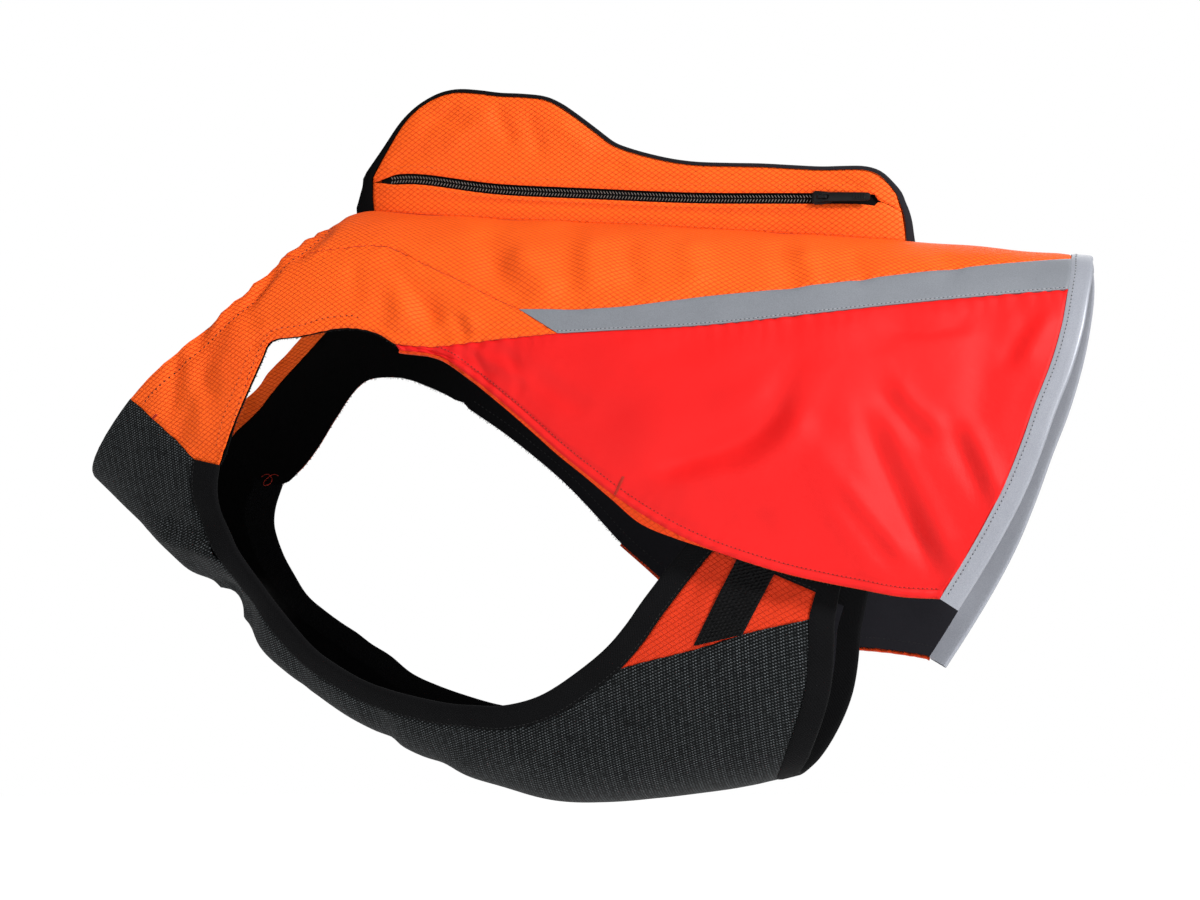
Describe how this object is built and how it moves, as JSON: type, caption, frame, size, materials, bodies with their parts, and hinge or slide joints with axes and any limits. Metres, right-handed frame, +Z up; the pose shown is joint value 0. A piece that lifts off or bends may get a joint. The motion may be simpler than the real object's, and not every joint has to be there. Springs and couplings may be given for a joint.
{
  "type": "dog protective vest",
  "caption": "Dog protective vest, filled out with no wearer: orange back, red side flaps, reflective tape, knit chest and a zip pocket along the spine.",
  "frame": {"origin": "on the inside of the back, at the middle of the spine, where the wearer's back carries the vest", "axes": "+X towards the tail, -Y the dog's left side, +Z up"},
  "size_m": [0.6673, 0.2027, 0.4728],
  "materials": {
    "orange_ripstop": "coated ripstop, satin",
    "red_satin": "smooth woven, satin",
    "reflective_tape": "glass-bead reflective, grey by day",
    "charcoal_knit": "marled rib knit, matt",
    "black_binding": "matt elastic binding",
    "black_lining": "woven lining, matt",
    "black_webbing": "ribbed nylon webbing",
    "black_nylon": "coil zip and its tape",
    "zip_metal": "black painted zip slider and pull"
  },
  "bodies": {
    "vest": {"back_panel_left": "orange_ripstop", "back_panel_right": "orange_ripstop", "belly_rear_binding": "black_binding", "belly_wing_left": "orange_ripstop", "belly_wing_right": "orange_ripstop", "chest_lining": "black_lining", "chest_panel": "charcoal_knit", "edge_piping_left": "orange_ripstop", "edge_piping_right": "orange_ripstop", "hem_tape_left": "reflective_tape", "hem_tape_right": "reflective_tape", "leg_binding_left": "black_binding", "leg_binding_right": "black_binding", "lining_left": "black_lining", "lining_right": "black_lining", "neck_facing_left": "orange_ripstop", "neck_facing_right": "orange_ripstop", "pocket_gusset": "black_lining", "pocket_wall_left_lower": "orange_ripstop", "pocket_wall_left_upper": "orange_ripstop", "pocket_wall_right": "orange_ripstop", "reflective_stripe_left": "reflective_tape", "reflective_stripe_right": "reflective_tape", "shoulder_panel_left": "orange_ripstop", "shoulder_panel_right": "orange_ripstop", "side_panel_left": "red_satin", "side_panel_right": "red_satin", "webbing_left": "black_webbing", "webbing_right": "black_webbing", "wing_binding_left": "black_binding", "wing_binding_right": "black_binding", "zip_bail": "zip_metal", "zip_chain": "black_nylon", "zip_slider": "zip_metal", "zip_tape": "black_nylon"},
    "zip_pull": {"zip_pull": "zip_metal"}
  },
  "joints": [
    {"name": "zip_pull_hinge", "type": "hinge", "parent": "vest", "child": "zip_pull", "pos_m": [0.121, -0.01155, 0.01505], "axis": [-0.041, 0, -0.9992], "range_deg": [0, 170]}
  ]
}
